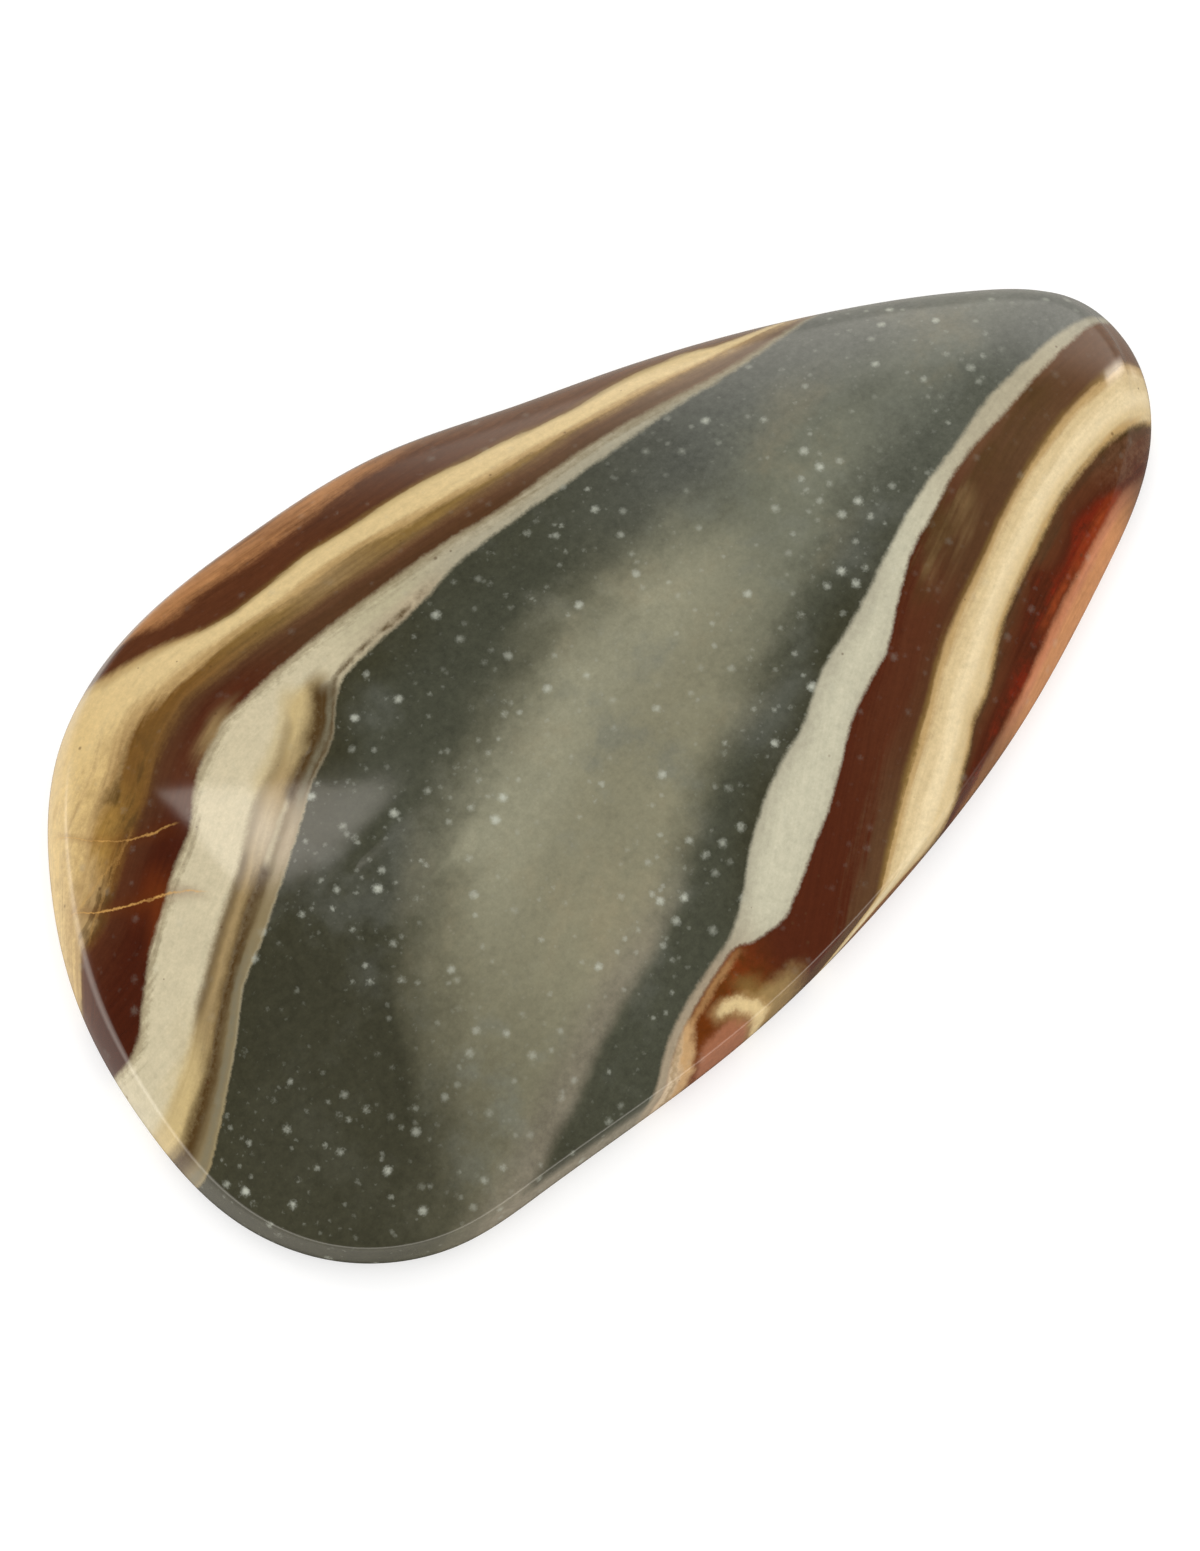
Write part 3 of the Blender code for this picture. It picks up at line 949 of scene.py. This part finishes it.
    def specks(self, colour, in_body):
        """Pale grains of chert, dense in the green body and few elsewhere, and a few dark pits."""
        tree, tones = self.tree, self.colours
        swarm = (self.cloud * 1.5 + self.puff).step(-0.25, 0.2) * 0.55 + 0.45
        share = 0
        for seed, density, least, most, strength in SPECKS:
            place = tree.shifted(self.rock, (seed, seed * 2.3, seed * 0.7))
            near, chance = tree.spots(place, density)
            size = chance * (most - least) + least
            grain = ((near + self.grain * 0.4 + self.chalk * 0.3) / size).fall(0, 1)
            fleck = grain * (chance * chance * 0.75 + 0.25) * strength
            share = fleck.at_least(share)
        colour = tree.mix(share * swarm * (in_body * 0.85 + 0.15), colour, tones.speck)
        pit, luck = tree.spots(tree.shifted(self.rock, PIT_SHIFT), PITS_PER_MM)
        hole = (pit / (luck * 0.12 + 0.06)).fall(0.2, 1) * (1 - in_body)
        return tree.mix(hole * 0.6, colour, tones.umber)

    def material(self, shader):
        tree = self.tree
        colour = self.body()
        green, pale = self.lines(GREEN_EDGE, PALE_EDGE)
        in_body = self.below(green) * self.above(pale)
        colour = self.upper_bands(colour)
        colour = self.lower_bands(colour)
        colour = self.cracks(colour)
        colour = self.specks(colour, in_body)
        colour = tree.shade(colour, self.grain * 0.2)
        roughness = tree.noise(self.rock, *SHEEN) * ROUGHNESS_SPREAD + POLISH_ROUGHNESS
        height = tree.noise(self.rock, *WAVE) * WAVE_HEIGHT + self.grain * GRAIN_HEIGHT
        bump = tree.node("ShaderNodeBump", {}, {"Height": height, "Strength": 1, "Distance": MM})
        for name, field in (("Base Color", colour), ("Roughness", roughness), ("Normal", bump)):
            tree.tree.links.new(field.socket, shader.inputs[name])


def polished_jasper(colours):
    material = bpy.data.materials.new("polychrome_jasper")
    material.use_nodes = True
    shader = material.node_tree.nodes["Principled BSDF"]
    shader.inputs["IOR"].default_value = STONE_IOR
    Jasper(Tree(material.node_tree), colours).material(shader)
    return material


# ---------------------------------------------------------------------------
# Settings
# ---------------------------------------------------------------------------


def number(name, description, value, **more):
    return FloatProperty(name=name, description=description, default=value, **more)


def size(name, description, value):
    return number(name, description, value, min=0.0, unit="LENGTH", precision=5)


def count(name, description, value):
    return IntProperty(name=name, description=description, default=value, min=2)


def swatch(name, description, value):
    look = {"size": 4, "subtype": "COLOR", "min": 0.0, "max": 1.0}
    return FloatVectorProperty(name=name, description=description, default=value, **look)


def colour(name, *parts):
    return swatch(name, f"{name} in the stone", tone(*parts))


class SlabShape(bpy.types.PropertyGroup):
    girdle_height: size("Girdle height", "Height of the widest line above the flat back", 1.9 * MM)
    arris_height: size("Arris height", "Height of the side band's top above the back", 3.5 * MM)
    crown_height: size("Crown height", "Height of the dome's top above the back", SLAB_HEIGHT)
    back_inset: size("Back inset", "How far the flat back stops inside the girdle", 2.0 * MM)
    arris_ease: size("Arris ease", "How much the arris is eased on each side", 0.25 * MM)
    dome_fullness: number("Dome fullness", "2 is an ellipse, and more is flatter on top", 2.4)
    steps_per_span: count("Steps per span", "Points between two rows of the girdle", 24)
    lower_rings: count("Lower rings", "Rings up the lower rounding", 9)
    band_rings: count("Band rings", "Rings up the side band", 6)
    ease_rings: count("Ease rings", "Rings over the eased arris", 7)
    dome_rings: count("Dome rings", "Rings up the dome", 60)


class JasperColours(bpy.types.PropertyGroup):
    chert_umber: colour("Brownish dark chert", 55, 54, 41)
    chert_dark: colour("Dark green chert", 64, 65, 53)
    chert_black: colour("Blackish green chert", 50, 48, 32)
    chert_grey: colour("Grey chert", 84, 86, 76)
    chert_slate: colour("Slate-grey chert", 98, 100, 95)
    chert_pewter: colour("Light slate-grey chert", 105, 107, 97)
    chert_olive: colour("Olive-brown chert", 86, 84, 68)
    chert_moss: colour("Mossy chert", 103, 100, 81)
    chert_mist: colour("Olive-beige chert", 122, 119, 98)
    chert_crest: colour("Pale olive-beige chert", 138, 136, 115)
    chert_haze: colour("Hazy chert", 107, 108, 93)
    chert_brown: colour("Brown-beige chert", 128, 118, 94)
    chert_lilac: colour("Lilac-grey chert", 131, 123, 107)
    speck: colour("Chert grain", 176, 179, 166)
    ash_grey: colour("Ash grey", 150, 145, 126)
    ash_dull: colour("Dull ash", 164, 156, 133)
    ash: colour("Ash white", 168, 160, 132)
    ash_light: colour("Light ash white", 181, 177, 155)
    pink_ash: colour("Pinkish ash", 168, 152, 126)
    lilac_ash: colour("Lilac ash", 146, 133, 112)
    hair: colour("Grey hair line", 112, 106, 86)
    bone: colour("Bone white", 186, 176, 148)
    bone_light: colour("Light bone white", 190, 179, 150)
    tan: colour("Tan", 126, 112, 82)
    tan_gold: colour("Golden tan", 141, 118, 77)
    drab_ash: colour("Drab ash", 140, 124, 98)
    straw: colour("Straw", 196, 175, 134)
    cream: colour("Cream", 202, 179, 132)
    cream_light: colour("Light cream", 212, 194, 156)
    gold_cream: colour("Golden cream", 180, 159, 112)
    gold: colour("Gold", 170, 142, 96)
    gold_rim: colour("Gold of the rim", 206, 177, 120)
    gold_vein: colour("Gold of the veins", 206, 158, 88)
    gold_olive: colour("Golden olive", 150, 116, 58)
    nut: colour("Nut brown", 124, 82, 48)
    khaki: colour("Khaki", 132, 108, 72)
    olive: colour("Olive gold", 122, 96, 52)
    olive_amber: colour("Amber olive", 108, 76, 34)
    olive_dark: colour("Dark olive gold", 108, 78, 42)
    olive_drab: colour("Drab olive", 112, 88, 54)
    olive_brown: colour("Olive brown", 72, 53, 26)
    umber: colour("Umber", 76, 50, 30)
    cocoa: colour("Cocoa", 102, 80, 60)
    cocoa_light: colour("Light cocoa", 122, 98, 72)
    cocoa_dark: colour("Dark cocoa", 84, 59, 38)
    maroon_deep: colour("Deep maroon", 62, 24, 10)
    maroon: colour("Maroon", 72, 32, 16)
    maroon_brown: colour("Brownish maroon", 79, 42, 24)
    russet: colour("Russet", 94, 64, 43)
    rust_brown: colour("Rust brown", 88, 46, 12)
    rust: colour("Rust", 104, 46, 14)
    rust_glow: colour("Bright rust", 148, 110, 70)
    peach: colour("Peach", 176, 142, 100)
    plum: colour("Plum", 80, 44, 24)
    plum_brown: colour("Plum brown", 80, 46, 26)
    mauve: colour("Mauve brown", 94, 64, 44)
    caramel: colour("Caramel", 166, 118, 76)
    caramel_light: colour("Light caramel", 176, 121, 78)
    pink: colour("Pink", 172, 112, 80)
    pink_grey: colour("Pinkish grey", 186, 166, 138)
    red: colour("Red", 104, 32, 14)
    orange: colour("Orange", 132, 58, 26)
    amber: colour("Amber", 92, 44, 10)
    rust_pink: colour("Rust pink", 142, 92, 66)


class StudioLight(bpy.types.PropertyGroup):
    floor_size: number("Floor size", "Side of the pale floor", 6.0, unit="LENGTH")
    floor_colour: swatch("Floor colour", "Colour of the pale floor", (0.55, 0.55, 0.55, 1.0))
    floor_glow: number("Floor glow", "Light that comes up through the floor", 0.5)
    key: number("Key", "Strength of the broad soft light overhead", 3.3)
    rim: number("Rim", "Brightness low down on the camera's side", 3.4)
    glow: number("Glow", "Brightness low down beyond the narrow end", 1.4)
    window: number("Window", "Brightness of the window over the broad end", 2.9)
    lamp: number("Lamp", "Brightness of the small lamp by the narrow end", 6.0)
    room: number("Room", "Brightness of the rest of the room", 0.05)
    table: number("Table", "Brightness of the table in the polish", 0.35)
    table_near: number("Table, near", "How much brighter it is at the broad end", 0.75)
    table_far: number("Table, far", "How much brighter it is on the far side", 0.3)
    table_beyond: number("Table, beyond", "How much brighter it is steeply beyond the stone", 0.6)
    room_colour: swatch("Room colour", "Colour of what the polish mirrors", (1.0, 0.94, 0.85, 1.0))
    camera_distance: number("Camera distance", "From the camera to its aim", 0.262, unit="LENGTH")
    camera_azimuth: number(
        "Camera azimuth", "Turn of the view about the vertical", math.radians(-44.0), unit="ROTATION"
    )
    camera_elevation: number(
        "Camera elevation", "Angle of the view above the floor", math.radians(68.0), unit="ROTATION"
    )
    camera_lens: number("Lens", "Focal length in millimetres", 105.0)
    camera_aim: FloatVectorProperty(
        name="Camera aim", description="The point the camera looks at",
        default=(-4.19 * MM, -3.82 * MM, 0.66 * MM), size=3, unit="LENGTH", precision=5,
    )


# ---------------------------------------------------------------------------
# Operators
# ---------------------------------------------------------------------------


class JASPER_OT_slab(bpy.types.Operator):
    """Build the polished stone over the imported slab"""

    bl_idname = "jasper.slab"
    bl_label = "Polished Slab"

    def execute(self, context):
        scene = context.scene
        stone = bpy.data.objects.new("polished_slab", skin(Slab(scene.jasper_shape).rings()))
        stone.data.materials.append(polished_jasper(scene.jasper_colours))
        scene.collection.objects.link(stone)
        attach(stone, "root")
        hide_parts(SLAB_NODE)
        return {"FINISHED"}


def view_back(studio):
    """The direction from the aim back to the camera."""
    flat = math.cos(studio.camera_elevation)
    return Vector((
        math.sin(studio.camera_azimuth) * flat,
        -math.cos(studio.camera_azimuth) * flat,
        math.sin(studio.camera_elevation),
    ))


def add_floor(scene, studio):
    mesh = bpy.data.meshes.new("floor")
    half = studio.floor_size / 2
    corners = [(-half, -half, 0), (half, -half, 0), (half, half, 0), (-half, half, 0)]
    mesh.from_pydata(corners, [], [(0, 1, 2, 3)])
    floor = bpy.data.objects.new("floor", mesh)
    floor.location.z = -FLOOR_GAP * MM
    floor.visible_glossy = False
    material = bpy.data.materials.new("pale_floor")
    material.use_nodes = True
    shader = material.node_tree.nodes["Principled BSDF"]
    shader.inputs["Base Color"].default_value = studio.floor_colour
    shader.inputs["Roughness"].default_value = FLOOR_ROUGHNESS
    shader.inputs["Specular IOR Level"].default_value = 0.0
    shader.inputs["Emission Color"].default_value = (1.0, 1.0, 1.0, 1.0)
    shader.inputs["Emission Strength"].default_value = studio.floor_glow
    mesh.materials.append(material)
    scene.collection.objects.link(floor)


def compass(azimuth, elevation):
    """The direction at an azimuth and an elevation, in degrees."""
    turn = math.radians(azimuth)
    rise = math.radians(elevation)
    return Vector((math.cos(turn) * math.cos(rise), math.sin(turn) * math.cos(rise), math.sin(rise)))


def dot(tree, way, normal):
    """How far a direction leans towards a normal."""
    return tree.vector("DOT_PRODUCT", {0: way, 1: tuple(normal)}, "Value")


def window_light(tree, way):
    """1 inside the window that the polish mirrors, 0 outside it."""
    corners = [compass(azimuth, elevation) for azimuth, elevation, _ in WINDOW]
    middle = sum(corners, Vector())
    light = 1.0
    for i, (_, _, soft) in enumerate(WINDOW):
        side = corners[i].cross(corners[(i + 1) % len(corners)]).normalized()
        inward = side if side.dot(middle) > 0 else -side
        light = dot(tree, way, inward).step(0.0, soft) * light
    return light


def room_light(tree, studio):
    """How bright the room is in every direction, as the polish mirrors it."""
    way = tree.node("ShaderNodeTexCoord", {}, {}, "Generated")
    x, y, z = tree.split(way)
    back = view_back(studio)
    near = (x * back.x + y * back.y) / math.hypot(back.x, back.y)

    # Above the table: the window, a glow beyond the narrow end, and a rim on the camera's side
    glow = (x * 0.9 + y * 0.42).step(0.62, 0.88)
    rim = z.fall(0.04, 0.28) * near.step(-0.55, -0.3) * x.fall(0.3, 0.65)
    window = window_light(tree, way)
    sky = glow * studio.glow + rim * studio.rim + window * studio.window + studio.room

    # The lamp is a narrow strip
    across = compass(*LAMP_TOP).cross(compass(*LAMP_FOOT)).normalized()
    strip = dot(tree, way, across).peak(0.07) * x.step(0.4, 0.8)
    lamp = strip * z.step(-0.5, 0.1) * z.fall(0.26, 0.34)

    # The table, brighter at the broad end and on the far side, but dim low down there
    left = x.fall(-0.6, 0.1)
    far = (x * 0.6 + y * 0.8).step(0.3, 0.8)
    table = (left * studio.table_near + far * studio.table_far + studio.table) * z.step(-1.15, -0.5)
    table = table * (1 - far * z.step(-0.6, -0.1) * x.fall(0.35, 0.6) * 0.5)
    beyond = near.fall(-0.6, 0) * z.fall(-0.95, -0.3) * x.fall(0.05, 0.4) * y.step(0.1, 0.4)
    table = table + beyond * studio.table_beyond

    above = z.step(-0.1, 0.06)
    return sky * above + table * (1 - above) + lamp * studio.lamp


def add_light(scene, studio):
    """A broad soft light overhead, kept out of the polish, and a dim room for it to mirror."""
    key = bpy.data.objects.new("key", bpy.data.lights.new("key", "SUN"))
    key.data.energy = studio.key
    key.data.angle = math.radians(KEY_SPREAD)
    key.rotation_euler = (math.radians(KEY_TILT[0]), math.radians(KEY_TILT[1]), 0)
    key.visible_glossy = False
    scene.collection.objects.link(key)

    world = bpy.data.worlds.new("studio")
    world.use_nodes = True
    background = world.node_tree.nodes["Background"]
    light = room_light(Tree(world.node_tree), studio)
    world.node_tree.links.new(light.socket, background.inputs["Strength"])
    background.inputs["Color"].default_value = studio.room_colour
    scene.world = world


def add_camera(scene, studio):
    camera = bpy.data.objects.new("camera", bpy.data.cameras.new("camera"))
    camera.data.lens = studio.camera_lens
    camera.data.clip_start = 0.01
    back = view_back(studio)
    camera.location = Vector(studio.camera_aim) + back * studio.camera_distance
    camera.rotation_euler = back.to_track_quat("Z", "Y").to_euler()
    scene.collection.objects.link(camera)
    scene.camera = camera


class JASPER_OT_studio(bpy.types.Operator):
    """Lay the pale floor, light it softly and place the camera"""

    bl_idname = "jasper.studio"
    bl_label = "Studio"

    def execute(self, context):
        scene = context.scene
        studio = scene.jasper_studio
        add_floor(scene, studio)
        add_light(scene, studio)
        add_camera(scene, studio)
        scene.view_settings.view_transform = "Standard"
        return {"FINISHED"}


class JASPER_PT_panel(bpy.types.Panel):
    bl_idname = "JASPER_PT_panel"
    bl_label = "Jasper Slab"
    bl_space_type = "VIEW_3D"
    bl_region_type = "UI"
    bl_category = "Jasper"

    def draw(self, context):
        for operator in (JASPER_OT_slab, JASPER_OT_studio):
            self.layout.operator(operator.bl_idname)
        scene = context.scene
        for group in (scene.jasper_shape, scene.jasper_colours, scene.jasper_studio):
            box = self.layout.box()
            for name in group.bl_rna.properties.keys():
                if name not in ("rna_type", "name"):
                    box.prop(group, name)


CLASSES = (SlabShape, JasperColours, StudioLight, JASPER_OT_slab, JASPER_OT_studio, JASPER_PT_panel)


def register():
    for cls in CLASSES:
        bpy.utils.register_class(cls)
    bpy.types.Scene.jasper_shape = PointerProperty(type=SlabShape)
    bpy.types.Scene.jasper_colours = PointerProperty(type=JasperColours)
    bpy.types.Scene.jasper_studio = PointerProperty(type=StudioLight)


def unregister():
    del bpy.types.Scene.jasper_studio
    del bpy.types.Scene.jasper_colours
    del bpy.types.Scene.jasper_shape
    for cls in reversed(CLASSES):
        bpy.utils.unregister_class(cls)


def main():
    register()
    bpy.ops.jasper.slab()
    bpy.ops.jasper.studio()


if __name__ == "__main__":
    main()
